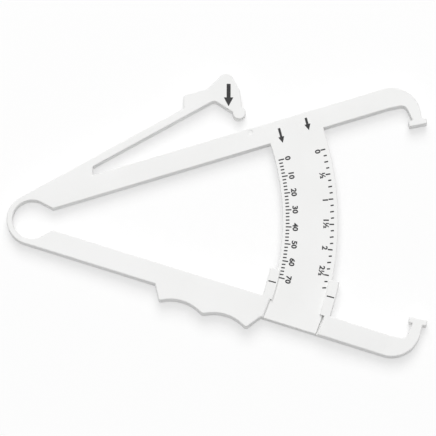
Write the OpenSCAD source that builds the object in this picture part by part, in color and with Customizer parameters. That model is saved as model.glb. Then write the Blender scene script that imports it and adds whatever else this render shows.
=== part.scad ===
// Skinfold caliper: two arms on a sprung ring, hooked jaws with flat pads, a curved scale
// plate that slides through a guide on the lower arm, and a sprung lever for the thumb.
// It lies on its back. The origin is the middle of the ring on the back face, +X runs
// between the arms to the jaws, +Y is the upper arm's side and +Z is the printed front.
// The lower arm is drawn on the upper side and mirrored.

/* [Arms] */
// Angle of each arm from the middle line at rest
arm_angle = 17.2; // [16:0.1:19]
// Distance from the pivot to the line of an arm's inner edge
arm_inset = 1.6; // [1:0.1:2.4]
// Width of each arm
arm_w = 7.9; // [6.5:0.1:9]
// Thickness of the ring, the upper arm, the lever and the jaws
body_t = 5.5; // [4.5:0.1:6.5]
// Distance along the upper arm from the pivot to the round pin mark in its front
pin_mark_at = 88; // [70:1:95]
// Distance from the pin mark's middle to the arm's outer edge
pin_mark_margin = 1.6; // [1.5:0.1:3]
// Radius of the pin mark
pin_mark_r = 1.1; // [0.8:0.1:1.3]
// Depth of the pin mark
pin_mark_depth = 0.15; // [0.1:0.05:0.3]

/* [Sprung ring] */
// Wall of the ring that joins the arms
ring_w = 2.2; // [1.6:0.1:3]
// Angle round the ring at which its throat starts to flare
throat_angle = 62; // [50:1:70]
// Rounding of the nose between the throat and the arm
nose_r = 0.8; // [0.4:0.1:1.5]

/* [Jaws] */
// Distance from the pivot to the middle of a jaw pad
jaw_reach = 149.4; // [140:0.1:160]
// Opening between the middles of the jaw pads at rest
rest_opening = 73.6; // [68:0.1:78]
// Outer radius of the hooked end of an arm
jaw_outer_r = 11; // [8:0.1:12]
// Inner radius of the hooked end of an arm
jaw_inner_r = 2.5; // [1:0.1:3.5]
// Width of the hook just below its bend
jaw_root_w = 4.6; // [4:0.1:5.5]
// Width of the hook where it carries the pad
jaw_leg_w = 3.7; // [3:0.1:4]
// Distance by which the hook's outer edge draws in from its bend to the pad
jaw_draw_in = 0.3; // [0.1:0.1:0.6]
// Depth by which the hook's crook stands in from the line of the arm's inner edge
crook_fill = 0.35; // [0.1:0.05:0.6]
// Distance from the middle of the pad to the middle of the hook that carries it
jaw_leg_shift = 0.3; // [0:0.1:1]
// Length of a jaw pad
pad_l = 6.9; // [6.5:0.1:9]
// Thickness of a jaw pad
pad_t = 2.2; // [1.2:0.1:2.6]
// Angle of a pad's face from the line through the pivot, which makes the tips meet first
pad_tilt = 3; // [0:0.5:5]
// Bevel on the back corners of a jaw pad
pad_bevel = 0.4; // [0.2:0.1:0.8]

/* [Scale plate] */
// Inner radius of the scale plate
plate_inner_r = 93.9; // [88:0.1:98]
// Width of the scale plate
plate_w = 20.8; // [18:0.1:23]
// Thickness of the scale plate
plate_t = 2; // [1.5:0.1:2.4]

/* [Guide] */
// Running clearance between the scale plate and its guide
guide_gap = 0.3; // [0.2:0.05:0.4]
// Thickness of the lips that lie over the edges of the plate
lip_t = 0.8; // [0.6:0.1:1.4]
// Width of the plate's edge that a lip covers
lip_cover = 1.1; // [0.6:0.1:1.2]
// Width of the posts beside the plate
post_w = 2.5; // [1.8:0.1:3.2]
// Angle of the posts' free ends from the middle line
post_end_angle = 11.4; // [9:0.1:13]
// Length of arm kept at full guide height on either side of the guide
guide_land = 1.5; // [0.5:0.1:4]

/* [Finger grip] */
// Distance along the arm from the end of the grip to the guide's recess
grip_to_guide = 0.3; // [0.2:0.1:4]
// Distance along the arm from the foot of the grip to its first crest
grip_lead = 3.3; // [2:0.1:5]
// Distance between neighbouring crests
grip_pitch = 17; // [14:0.1:17.5]
// Height of the crests above the arm's outer edge
grip_h = 5.7; // [4:0.1:7]
// Depth of the finger hollows below the crests
grip_dip = 2.5; // [1.5:0.1:3]
// Width of the blunt top of the middle crest
crest_w = 0.9; // [0.4:0.1:2]
// Distance along the arm from the last crest to the end of the grip
grip_tail = 4.1; // [2:0.1:5]

/* [Press lever] */
// Angle of the lever from the middle line
lever_angle = 29.4; // [27:0.1:32]
// Width of the lever's beam
lever_w = 3.05; // [2.4:0.1:3.4]
// Distance from the pivot to the closed end of the slot under the lever, along the middle line
slot_x = 22.6; // [20:0.1:28]
// Length of the lever's root that bends when it is pressed
flexure_l = 12; // [8:0.5:16]
// Distance along the lever from the pivot to its head
head_at = 81.8; // [76:0.1:86]
// Length of the thumb rest ahead of the head
rest_l = 11.3; // [8:0.1:16]
// Distance along the lever from the foot of the thumb rest to its top corner
rest_lead = 2.3; // [1:0.1:3]
// Height of the thumb rest at its start
rest_h = 4; // [3:0.1:5]
// Height of the thumb rest where it meets the head
rest_low_h = 2.3; // [1.5:0.1:2.8]
// Length of the head
head_l = 10.3; // [8:0.1:12]
// Angle at which the head's top rises from the thumb rest
head_rise = 15; // [8:1:20]
// Rounding of the head's crest
crest_r = 3.2; // [1.5:0.1:4]

/* [Lever finger] */
// Distance from the lever's outer edge down to the middle of the finger's toe
toe_drop = 11.8; // [11:0.1:13]
// Distance along the lever from the head to the middle of the toe
toe_at = 5.4; // [4:0.1:6.5]
// Radius of the toe
toe_r = 2.25; // [1.6:0.1:2.5]
// Width of the finger just above its toe
finger_neck_w = 3.4; // [2.4:0.1:4]
// Length of the head's straight end that runs down the finger before it slopes back
heel_l = 1; // [0.5:0.1:2]

/* [Printed marks] */
// Angle by which the scale and its index stand to the lower side of the jaws' line
mark_shift = 0.38; // [0:0.01:1]
// Thickness of the printed ink
ink_t = 0.05; // [0.03:0.01:0.1]
// Distance from the plate's inner edge to the millimetre marks
mm_mark_at = 1.2; // [1.15:0.05:2]
// Length of a millimetre scale mark
mm_mark_l = 1.4; // [1:0.1:2]
// Length of a ten-millimetre mark
mm_long_l = 2.2; // [1.8:0.1:3]
// Width of the millimetre scale marks
mm_mark_w = 0.4; // [0.25:0.05:0.6]
// Last reading of the millimetre scale
mm_last = 70; // [60:2:74]
// Distance from the plate's outer edge to the inch marks
inch_mark_at = 1.5; // [1.15:0.05:2.5]
// Length of an eighth-inch mark
inch_mark_l = 1.2; // [0.8:0.1:1.6]
// Length of a quarter-inch mark
inch_mid_l = 1.45; // [1.2:0.05:2]
// Length of a half-inch mark
inch_long_l = 1.8; // [1.4:0.1:2.4]
// Width of the inch scale marks
inch_mark_w = 0.5; // [0.3:0.05:0.7]
// Last reading of the inch scale, in eighths
inch_last = 22; // [18:1:23]
// Width of the index marks on the guide
index_w = 0.5; // [0.4:0.1:1]
// Distance from an index mark to the sides of the post and lip that carry it
index_margin = 0.3; // [0.1:0.05:0.5]

/* [Hidden] */
$fn = 96;
arc_n = 16;                                        // Steps in a drawn arc
ring_outer_r = arm_inset + arm_w;                  // The arms run tangent to the ring
ring_inner_r = ring_outer_r - ring_w;
outreach = 2 * jaw_reach;                          // Larger than the object, for cuts
cut_h = 4 * body_t;

jaw_angle = asin(rest_opening / 2 / jaw_reach);    // Angle of a pad's middle at rest
pad_s = jaw_reach * cos(arm_angle - jaw_angle);    // The pad's middle, along the arm
pad_v = -jaw_reach * sin(arm_angle - jaw_angle);   // and across it
pad_turn = jaw_angle - pad_tilt - arm_angle;       // Turn of a pad's face from the arm
leg_tip_s = pad_s + jaw_leg_shift + jaw_leg_w / 2; // The hook's outer edge at the pad
leg_outer_s = leg_tip_s + jaw_draw_in;             // and just below its bend
jaw_s = leg_outer_s - jaw_outer_r;                 // Where an arm turns into its jaw

plate_outer_r = plate_inner_r + plate_w;
plate_z = body_t - plate_t;                        // The plate's front is flush with the arm's
recess_inner_r = plate_inner_r - guide_gap;
recess_outer_r = plate_outer_r + guide_gap;
post_inner_r = recess_inner_r - post_w;
post_outer_r = recess_outer_r + post_w;
lip_z = body_t + guide_gap;
guide_t = lip_z + lip_t;                           // Thickness of the lower arm at the guide
floor_t = plate_z - guide_gap;

grip_end_s = sqrt(recess_inner_r * recess_inner_r - ring_outer_r * ring_outer_r) - grip_to_guide;
grip_last_s = grip_end_s - grip_tail;              // Where the crests are
grip_first_s = grip_last_s - 2 * grip_pitch;
hollow_w = grip_pitch - crest_w;                   // A hollow's chord at the height of the crests
scallop_r = hollow_w * hollow_w / 8 / grip_dip + grip_dip / 2;

lever_inner_v = ring_outer_r - lever_w;
slot_u = (slot_x + (ring_outer_r - lever_w / 2) * sin(lever_angle)) / cos(lever_angle);
flexure_end_u = slot_u + flexure_l;
head_end_u = head_at + head_l;
crest_v = ring_outer_r + rest_low_h + head_l * tan(head_rise);
toe_u = head_at + toe_at;
toe_v = ring_outer_r - toe_drop;

mm_mark_r = plate_inner_r + mm_mark_at;
inch_mark_r = plate_outer_r - inch_mark_at;
inch = 25.4;

white = [0.95, 0.95, 0.94];
soft_white = [0.9, 0.9, 0.89];
black = [0.05, 0.05, 0.05];

// ---- Geometry helpers

// Point at s along a ray from the pivot at angle a, and at v to the left of it
function ray_point(a, s, v) = [s * cos(a) - v * sin(a), s * sin(a) + v * cos(a)];

// Point at x of the line at angle a that passes the pivot at distance v
function line_point(a, v, x) = [x, (v + x * sin(a)) / cos(a)];

// Points of an arc round c from angle a0 to angle a1
function arc(c, r, a0, a1) =
    [for (i = [0:arc_n]) c + r * [cos(a0 + (a1 - a0) * i / arc_n), sin(a0 + (a1 - a0) * i / arc_n)]];

// Meeting point of two lines, given by the angles of their normals and their distances
function meet(n1, d1, n2, d2) =
    [d1 * sin(n2) - d2 * sin(n1), d2 * cos(n1) - d1 * cos(n2)] / sin(n2 - n1);

// Corner p rounded with radius r, between directions a0 (arriving) and a1 (leaving), turning right
function right_turn(p, a0, a1, r) =
    let (half = (a0 - a1) / 2, c = p + r / cos(half) * [cos((a0 + a1) / 2 - 90), sin((a0 + a1) / 2 - 90)])
    arc(c, r, a0 + 90, a1 + 90);

module lower_side() {
    mirror([0, 1, 0]) children();
}

module along_arm() {
    rotate([0, 0, arm_angle]) children();
}

module along_lever() {
    rotate([0, 0, lever_angle]) children();
}

// Everything to the left of the line at angle a that passes the pivot at distance v
module left_of(a, v) {
    rotate([0, 0, a])
        translate([-outreach / 2, v, -cut_h / 2])
            cube([outreach * 1.5, outreach, cut_h]);
}

// ---- Ring and arm roots

module spring_ring() {
    color(white)
        rotate_extrude(start = 90 + lever_angle, angle = 180 - lever_angle - arm_angle)
            translate([ring_inner_r, 0])
                square([ring_w, body_t]);
}

// Root of an arm: it widens from the ring, flares the throat to a nose and runs on to
// end_x between the arm's inner line and an outer line at outer_angle, tangent to the ring
module arm_root(outer_angle, end_x, h) {
    inner_normal = 90 + arm_angle;
    nose_c = meet(throat_angle, ring_inner_r + nose_r, inner_normal, arm_inset + nose_r);
    linear_extrude(h)
        polygon(concat(
            [ray_point(outer_angle, 0, ring_outer_r)],
            [line_point(outer_angle, ring_outer_r, end_x)],
            [line_point(arm_angle, arm_inset, end_x)],
            arc(nose_c, nose_r, inner_normal + 180, throat_angle + 180),
            arc([0, 0], ring_inner_r, throat_angle, 90 + outer_angle)));
}

module upper_shoulder() {
    color(white) arm_root(lever_angle, slot_x, body_t);
}

module upper_arm() {
    color(white)
        difference() {
            linear_extrude(body_t)
                polygon([
                    line_point(arm_angle, arm_inset, slot_x),
                    ray_point(arm_angle, jaw_s, arm_inset),
                    ray_point(arm_angle, jaw_s, ring_outer_r),
                    line_point(arm_angle, ring_outer_r, slot_x)]);
            along_arm()
                translate([pin_mark_at, ring_outer_r - pin_mark_margin, body_t - pin_mark_depth])
                    cylinder(r = pin_mark_r, h = body_t);
        }
}

// ---- Lower arm

// Height of the line through two points of the side view, at s
function slope_height(p, q, s) = p[1] + (q[1] - p[1]) * (s - p[0]) / (q[0] - p[0]);

// Side view of the lower arm, which thickens to the guide's height and thins again
module lower_arm_height() {
    root = [0, body_t];
    land_start = [post_inner_r - guide_land, guide_t];
    land_end = [post_outer_r + guide_land, guide_t];
    tip = [jaw_s, body_t];
    first_s = -ring_outer_r;
    last_s = jaw_s + ring_outer_r;
    along_arm()
        translate([0, outreach, 0])
            rotate([90, 0, 0])
                linear_extrude(2 * outreach)
                    polygon([
                        [first_s, -body_t],
                        [last_s, -body_t],
                        [last_s, slope_height(land_end, tip, last_s)],
                        land_end,
                        land_start,
                        [first_s, slope_height(root, land_start, first_s)]]);
}

module lower_arm() {
    color(white)
        lower_side()
            intersection() {
                arm_root(arm_angle, plate_outer_r, guide_t);
                lower_arm_height();
                translate([0, 0, -cut_h / 2])
                    cylinder(r = recess_inner_r, h = 2 * cut_h, $fn = 4 * $fn);
            }
}

module lower_arm_end() {
    color(white)
        lower_side()
            difference() {
                intersection() {
                    along_arm()
                        translate([plate_inner_r, arm_inset, 0])
                            cube([jaw_s - plate_inner_r, arm_w, guide_t]);
                    lower_arm_height();
                }
                translate([0, 0, -cut_h / 2])
                    cylinder(r = recess_outer_r, h = 2 * cut_h, $fn = 4 * $fn);
            }
}

// Three crests with a round hollow for a finger between each two
module finger_grip() {
    color(white)
        lower_side()
            intersection() {
                along_arm()
                    difference() {
                        linear_extrude(guide_t)
                            polygon([
                                [grip_first_s - grip_lead, ring_outer_r],
                                [grip_end_s, ring_outer_r],
                                [grip_last_s, ring_outer_r + grip_h],
                                [grip_first_s, ring_outer_r + grip_h]]);
                        for (i = [0:1])
                            translate([grip_first_s + (i + 0.5) * grip_pitch,
                                ring_outer_r + grip_h - grip_dip + scallop_r, -body_t])
                                cylinder(r = scallop_r, h = cut_h);
                    }
                lower_arm_height();
            }
}

// ---- Guide for the scale plate

module guide_floor() {
    color(soft_white)
        lower_side()
            difference() {
                intersection() {
                    along_arm()
                        translate([0, arm_inset, 0])
                            cube([jaw_s, arm_w, floor_t]);
                    translate([0, 0, -cut_h / 2])
                        cylinder(r = recess_outer_r, h = 2 * cut_h, $fn = 4 * $fn);
                }
                translate([0, 0, -cut_h / 2])
                    cylinder(r = recess_inner_r, h = 2 * cut_h, $fn = 4 * $fn);
            }
}

// A post beside the plate with a lip over its edge, standing on the arm's inner edge
module side_guide(profile) {
    lower_side()
        difference() {
            rotate_extrude(start = post_end_angle, angle = arm_angle - post_end_angle + 3, $fn = 4 * $fn)
                polygon(profile);
            left_of(arm_angle, arm_inset);
        }
}

module mm_side_guide() {
    lip_r = plate_inner_r + lip_cover;
    color(white)
        side_guide([
            [post_inner_r, 0],
            [recess_inner_r, 0],
            [recess_inner_r, lip_z],
            [lip_r, lip_z],
            [lip_r, guide_t],
            [post_inner_r, guide_t]]);
}

module inch_side_guide() {
    lip_r = plate_outer_r - lip_cover;
    color(white)
        side_guide([
            [recess_outer_r, 0],
            [post_outer_r, 0],
            [post_outer_r, guide_t],
            [lip_r, guide_t],
            [lip_r, lip_z],
            [recess_outer_r, lip_z]]);
}

// ---- Jaws

// The hooked end of an arm, down to the back of its pad
module jaw() {
    bend_c = [jaw_s, ring_outer_r - jaw_outer_r];
    crook_c = [leg_outer_s - jaw_root_w - jaw_inner_r, arm_inset - crook_fill - jaw_inner_r];
    leg_inner_s = leg_tip_s - jaw_leg_w;
    pad_back_v = pad_v + pad_t / cos(pad_turn);
    color(white)
        along_arm()
            linear_extrude(body_t)
                polygon(concat(
                    [[jaw_s, arm_inset]],
                    arc(crook_c, jaw_inner_r, 90, 0),
                    [[leg_inner_s, pad_back_v + (leg_inner_s - pad_s) * tan(pad_turn)]],
                    [[leg_tip_s, pad_back_v + (leg_tip_s - pad_s) * tan(pad_turn)]],
                    arc(bend_c, jaw_outer_r, 0, 90)));
}

// The flat bar that presses on the fold of skin
module jaw_pad() {
    half_l = pad_l / 2;
    color(white)
        along_arm()
            translate([pad_s, pad_v, 0])
                rotate([0, 0, pad_turn])
                    linear_extrude(body_t)
                        polygon([
                            [-half_l, 0],
                            [half_l, 0],
                            [half_l, pad_t - pad_bevel],
                            [half_l - pad_bevel, pad_t],
                            [pad_bevel - half_l, pad_t],
                            [-half_l, pad_t - pad_bevel]]);
}

module upper_jaw() {
    jaw();
}

module upper_jaw_pad() {
    jaw_pad();
}

module lower_jaw() {
    lower_side() jaw();
}

module lower_jaw_pad() {
    lower_side() jaw_pad();
}

// ---- Scale plate and its marks

// It hangs from the upper arm's inner edge and ends flush with the lower arm's outer edge
module scale_plate() {
    color(white)
        difference() {
            rotate_extrude(start = -2 * arm_angle, angle = 4 * arm_angle, $fn = 4 * $fn)
                translate([plate_inner_r, plate_z])
                    square([plate_w, plate_t]);
            left_of(arm_angle, arm_inset);
            lower_side() left_of(arm_angle, ring_outer_r);
        }
}

// Angle of the mark for a reading: the opening is the chord between the pads
function mark_angle(reading) = jaw_angle - mark_shift - 2 * asin(reading / 2 / jaw_reach);

// A bar of ink along a radius, from r outwards, on a face at height z
module radial_mark(a, r, l, w, z) {
    rotate([0, 0, a])
        translate([r, -w / 2, z])
            cube([l, w, ink_t]);
}

module mm_graduations() {
    color(black)
        for (reading = [0:2:mm_last])
            radial_mark(mark_angle(reading), mm_mark_r, reading % 10 == 0 ? mm_long_l : mm_mark_l,
                mm_mark_w, body_t);
}

module inch_graduations() {
    color(black)
        for (eighths = [0:inch_last]) {
            l = eighths % 4 == 0 ? inch_long_l : eighths % 2 == 0 ? inch_mid_l : inch_mark_l;
            radial_mark(mark_angle(eighths * inch / 8), inch_mark_r - l, l, inch_mark_w, body_t);
        }
}

module mm_index_mark() {
    color(black)
        radial_mark(mark_angle(rest_opening), post_inner_r + index_margin,
            plate_inner_r + lip_cover - post_inner_r - 2 * index_margin, index_w, guide_t);
}

module inch_index_mark() {
    lip_r = plate_outer_r - lip_cover;
    color(black)
        radial_mark(mark_angle(rest_opening), lip_r + index_margin,
            post_outer_r - lip_r - 2 * index_margin, index_w, guide_t);
}

// ---- Press lever

// The thin root that bends, from the closed end of the slot
module lever_flexure() {
    color(white)
        linear_extrude(body_t)
            polygon([
                line_point(lever_angle, lever_inner_v, slot_x),
                ray_point(lever_angle, flexure_end_u, lever_inner_v),
                ray_point(lever_angle, flexure_end_u, ring_outer_r),
                line_point(lever_angle, ring_outer_r, slot_x)]);
}

module press_lever() {
    color(white)
        along_lever()
            translate([flexure_end_u, lever_inner_v, 0])
                cube([head_at - flexure_end_u, lever_w, body_t]);
}

// The raised step that the thumb lies on
module thumb_rest() {
    foot_u = head_at - rest_l;
    top_u = foot_u + rest_lead;
    top_a = atan2(rest_low_h - rest_h, head_at - top_u);
    color(white)
        along_lever()
            linear_extrude(body_t)
                polygon(concat(
                    [[foot_u, ring_outer_r]],
                    right_turn([top_u, ring_outer_r + rest_h], atan2(rest_h, rest_lead), top_a, rest_h / 4),
                    [[head_at, ring_outer_r + rest_low_h]],
                    [[head_at, ring_outer_r]]));
}

module lever_head() {
    color(white)
        along_lever()
            linear_extrude(body_t)
                polygon(concat(
                    [[head_at, lever_inner_v]],
                    [[head_at, ring_outer_r + rest_low_h]],
                    right_turn([head_end_u, crest_v], head_rise, -90, crest_r),
                    [[head_end_u, lever_inner_v]]));
}

// The finger below the head, whose round toe meets the arm when the lever is pressed
module lever_finger() {
    neck_half = finger_neck_w / 2;
    neck_lift = sqrt(toe_r * toe_r - neck_half * neck_half);
    neck_a = asin(neck_half / toe_r);
    color(white)
        along_lever()
            linear_extrude(body_t)
                polygon(concat(
                    [[head_at, lever_inner_v]],
                    [[head_end_u, lever_inner_v], [head_end_u, lever_inner_v - heel_l]],
                    [[toe_u + neck_half, toe_v + neck_lift]],
                    arc([toe_u, toe_v], toe_r, 90 - neck_a, -270 + neck_a)));
}

spring_ring();
upper_shoulder();
upper_arm();
upper_jaw();
upper_jaw_pad();
scale_plate();
mm_graduations();
inch_graduations();
lever_flexure();
press_lever();
thumb_rest();
lever_head();
lever_finger();
lower_arm();
finger_grip();
guide_floor();
mm_side_guide();
inch_side_guide();
lower_arm_end();
lower_jaw();
lower_jaw_pad();
mm_index_mark();
inch_index_mark();
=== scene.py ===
import math

import bmesh
import bpy
import numpy as np
from mathutils import Matrix, Vector


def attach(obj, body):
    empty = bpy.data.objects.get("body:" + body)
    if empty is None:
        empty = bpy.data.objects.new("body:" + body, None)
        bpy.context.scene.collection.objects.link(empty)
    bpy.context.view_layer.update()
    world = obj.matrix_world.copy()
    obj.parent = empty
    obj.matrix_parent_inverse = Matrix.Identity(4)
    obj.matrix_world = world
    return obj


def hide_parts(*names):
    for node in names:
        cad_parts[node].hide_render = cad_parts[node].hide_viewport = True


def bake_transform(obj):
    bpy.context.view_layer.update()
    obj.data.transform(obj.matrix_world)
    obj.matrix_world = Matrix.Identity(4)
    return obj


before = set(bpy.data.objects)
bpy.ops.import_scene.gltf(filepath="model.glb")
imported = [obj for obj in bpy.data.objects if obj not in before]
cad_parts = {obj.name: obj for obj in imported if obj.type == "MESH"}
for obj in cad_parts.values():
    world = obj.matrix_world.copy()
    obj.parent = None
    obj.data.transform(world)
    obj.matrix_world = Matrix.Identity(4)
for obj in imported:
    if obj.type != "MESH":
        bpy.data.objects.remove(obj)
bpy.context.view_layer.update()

# The caliper is drawn in millimetres on the plane of its arms, as one flexible white
# moulding with printed scales, and every finished piece is stored in metres.
MM = 0.001

# ---- Sizes of the moulding

ARM_ANGLE = 17.2          # each arm from the middle line
ARM_INSET = 1.6           # arm's inner edge line from the pivot
ARM_WIDTH = 7.9
RING_OUTER = ARM_INSET + ARM_WIDTH
RING_WALL = 2.2
RING_INNER = RING_OUTER - RING_WALL
THROAT_ANGLE = 62.0       # where the ring's inside flares into the throat
NOSE_RADIUS = 0.8
BODY_TOP = 5.5
PIN_MARK_AT = 88.0        # along the upper arm
PIN_MARK_MARGIN = 1.6     # from the arm's outer edge to the mark's middle
PIN_MARK_RADIUS = 1.1
PIN_MARK_DEPTH = 0.22

JAW_REACH = 149.4         # pivot to the middle of a jaw pad
REST_OPENING = 73.6       # between the middles of the pads
JAW_HALF_ANGLE = math.degrees(math.asin(REST_OPENING / 2 / JAW_REACH))
JAW_OUTER_RADIUS = 11.0
JAW_INNER_RADIUS = 2.5
JAW_ROOT_WIDTH = 4.6
JAW_LEG_WIDTH = 3.7
JAW_LEG_SHIFT = 0.3
JAW_DRAW_IN = 0.3         # the hook's outer edge draws in towards the pad
CROOK_FILL = 0.35         # the crook stands in from the line of the arm's inner edge
LEG_FOOT_ROUNDING = 0.35  # where the hook meets its pad
PAD_LENGTH = 6.9
PAD_THICKNESS = 2.2
PAD_TILT = 3.0
PAD_BACK_ROUNDING = 0.5
PAD_FACE_ROUNDING = 0.45

LEVER_ANGLE = 29.4
LEVER_WIDTH = 3.05
LEVER_INNER = RING_OUTER - LEVER_WIDTH
SLOT_X = 22.6
SLOT_ROUNDING = 0.4
SLOT_SKIRT = 1.0          # the shoulder runs this far past the closed end of the slot
FLEX_LENGTH = 12.0        # part of the lever that bends
FLEX_STEPS = 12
HEAD_AT = 81.8
HEAD_LENGTH = 10.3
HEAD_RISE = 15.0          # slope of the head's top from the lever's line
HEAD_CREST_ROUNDING = 3.6
HEAD_CROOK_ROUNDING = 1.3
HEEL = 1.0                # straight end of the head that runs down the finger
REST_LENGTH = 11.6        # thumb rest, from its foot to the head
REST_LEAD = 2.3           # from its foot to its top corner
REST_HEIGHT = 4.3
REST_LOW_HEIGHT = 2.3
REST_ROUNDING = 0.8
REST_FOOT_ROUNDING = 0.35
TOE_AT = 5.85             # from the head's start along the lever to the middle of the toe
TOE_DROP = 11.6           # from the lever's outer edge down to the middle of the toe
TOE_RADIUS = 2.5
TOE_NECK = 2.1            # half the finger's width above its toe

PLATE_INNER = 93.9
PLATE_WIDTH = 20.8
PLATE_THICKNESS = 2.0
PLATE_OUTER = PLATE_INNER + PLATE_WIDTH
PLATE_BOTTOM = BODY_TOP - PLATE_THICKNESS
PLATE_CORNER = 0.5
GUIDE_GAP = 0.3
RECESS_INNER = PLATE_INNER - GUIDE_GAP
RECESS_OUTER = PLATE_OUTER + GUIDE_GAP
POST_WIDTH = 2.5
POST_END_ANGLE = 11.4
POST_ROUNDING = 0.4
POST_STEPS = 12
LIP_COVER = 1.1
LIP_THICKNESS = 0.8
LIP_ROUNDING = 0.15
LIP_BOTTOM = BODY_TOP + GUIDE_GAP
SLIM_GAP = 0.08           # what shows of the running gap beside the plate and over it
GROOVE = 0.65             # width of the groove between the plate and the arm's end
GROOVE_DEPTH = 1.2
SHELF = 0.45              # the lower arm's front reaches this far over the plate's inner edge
SHELF_FALL = 0.5          # and falls towards it over this width
SHELF_BOTTOM = BODY_TOP + SLIM_GAP
SHELF_LOOP_STEP = 0.15    # between the edge loops that carry the fall
LEDGE_RISE = 0.01         # height of the short step in a wall that has a ledge
GUIDE_TOP = LIP_BOTTOM + LIP_THICKNESS
GUIDE_LAND = 1.5          # the lower arm stays at this height past the posts
FLOOR_EDGE = 0.15
CHANNEL_FOOT = 0.1        # roundings of the guide's hidden edges beside and over the plate
CHANNEL_CREASE = 0.05

GRIP_HEIGHT = 5.7
GRIP_PITCH = 17.0
GRIP_DIP = 2.5
GRIP_SLOPE_START = 3.3    # length along the arm of the slope at each end
GRIP_SLOPE_END = 4.1
GRIP_SETBACK = 0.3        # from the recess of the plate to the grip
GRIP_END = math.sqrt(RECESS_INNER ** 2 - RING_OUTER ** 2) - GRIP_SETBACK
GRIP_LAST = GRIP_END - GRIP_SLOPE_END
GRIP_FIRST = GRIP_LAST - 2 * GRIP_PITCH
GRIP_START = GRIP_FIRST - GRIP_SLOPE_START
CREST_ROUNDINGS = 0.9, 1.2, 1.0

EDGE = 0.45               # rounding of the moulding's long edges
FINE_EDGE = 0.25          # rounding of the plate's and the guide's edges
SMOOTH_ANGLE = 35.0       # faces that meet at less than this are shaded as one

INK = 0.05                # thickness of the printed ink
MARK_SHIFT = 0.26         # the scale and its index stand this far to the lower side
MARK_CORNER = 0.1
MM_MARKS_FROM = PLATE_INNER + 1.2
MM_MARK_WIDTH = 0.46
INCH = 25.4
INCH_MARKS_TO = PLATE_OUTER - 1.5
INCH_MARK_WIDTH = 0.5
POINTER_WIDTH = 0.45
POINTER_MARGIN = 0.5
DIGIT_HEIGHT = 2.0
MM_DIGITS_AT = 98.6
INCH_DIGITS_AT = 110.1
ARROW_ROUNDING = 0.12


# ---- Points and paths on the plane

def polar(radius, angle):
    """Point at a distance and an angle from the pivot."""
    a = math.radians(angle)
    return (radius * math.cos(a), radius * math.sin(a))


def on_ray(angle, along, left):
    """Point at a distance along a ray from the pivot, and at a distance to the left of it."""
    c, s = math.cos(math.radians(angle)), math.sin(math.radians(angle))
    return (along * c - left * s, along * s + left * c)


def on_line(angle, left, x):
    """Point at x of the line at this angle that passes the pivot at a distance."""
    a = math.radians(angle)
    return (x, (left + x * math.sin(a)) / math.cos(a))


def on_circle(angle, left, radius):
    """Point where the line at this angle that passes the pivot at a distance crosses a circle."""
    return on_ray(angle, math.sqrt(radius * radius - left * left), left)


def curve(centre, radius, first, last, step=3.0):
    """Corners along an arc, from one angle to another, with no rounding of their own."""
    count = max(2, round(abs(last - first) / step))
    angles = [math.radians(a) for a in np.linspace(first, last, count + 1)]
    return [corner((centre[0] + radius * math.cos(a), centre[1] + radius * math.sin(a))) for a in angles]


def corner(point, rounding=0.0, sharp=False):
    """A corner of an outline. sharp says that the wall after it has no rounded edges, as at a
    seam, and "below" that its top edge alone is rounded."""
    return (point[0], point[1], rounding, sharp)


def turned(corners, angle):
    """The same corners, turned about the pivot."""
    return [corner(on_ray(angle, x, y), r, s) for x, y, r, s in corners]


def meeting(normal_a, distance_a, normal_b, distance_b):
    """Meeting point of two lines, given by their normals' angles and their distances."""
    a, b = math.radians(normal_a), math.radians(normal_b)
    d = math.sin(b - a)
    return (
        (distance_a * math.sin(b) - distance_b * math.sin(a)) / d,
        (distance_b * math.cos(a) - distance_a * math.cos(b)) / d,
    )


def soften(corners, steps=5):
    """Points and sharp flags of an outline whose corners are cut back and rounded."""
    p = np.array([c[:2] for c in corners], float)
    n = len(p)
    length = np.linalg.norm(np.roll(p, -1, 0) - p, axis=1)

    def walk(i, step, distance):
        """Point at a distance along the outline from a corner, and the last corner on the way."""
        while True:
            wall = i if step > 0 else (i - 1) % n
            nxt = (i + step) % n
            if distance <= length[wall] + 1e-9:
                return p[i] + (p[nxt] - p[i]) * distance / length[wall], i
            distance -= length[wall]
            i = nxt

    dropped, bends = set(), {}
    for i, c in enumerate(corners):
        if c[2] > 0:
            before, last = walk(i, -1, c[2])
            after, first = walk(i, 1, c[2])
            j = last
            while j != first:
                dropped.add(j)
                j = (j + 1) % n
            dropped.update((first, i))
            a, b = before - p[i], after - p[i]
            turn = math.acos(np.clip(np.dot(a, b) / np.linalg.norm(a) / np.linalg.norm(b), -1, 1))
            w = math.sin(turn / 2)
            t = np.linspace(0, 1, steps + 1)[:, None]
            weights = (1 - t) ** 2, 2 * w * t * (1 - t), t ** 2
            bends[i] = sum(k * q for k, q in zip(weights, (before, p[i], after))) / sum(weights)
    points, sharp = [], []
    for i in range(n):
        if i in bends:
            points += list(bends[i])
            sharp += [False] * steps + [corners[i][3]]
        elif i not in dropped:
            points.append(p[i])
            sharp.append(corners[i][3])
    keep = [k for k in range(len(points)) if np.linalg.norm(points[k] - points[k - 1]) > 1e-5]
    return np.array([points[k] for k in keep]), [sharp[k] for k in keep]


def pulled_in(points, sharp, distance):
    """The outline with each wall moved inwards by a distance, apart from its sharp walls."""
    along = np.roll(points, -1, 0) - points
    along /= np.linalg.norm(along, axis=1)[:, None]
    normal = np.stack([along[:, 1], -along[:, 0]], 1)
    depth = np.where(np.array([bool(s) for s in sharp]), 0.0, distance)
    moved = np.empty_like(points)
    for i in range(len(points)):
        a, b = normal[i - 1], normal[i]
        cross = a[0] * b[1] - a[1] * b[0]
        da, db = -depth[i - 1], -depth[i]
        if abs(cross) < 0.02:
            shift = (a * da + b * db) / 2
        else:
            shift = np.array([da * b[1] - db * a[1], db * a[0] - da * b[0]]) / cross
        moved[i] = points[i] + shift
    return moved


# ---- Solids

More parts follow.
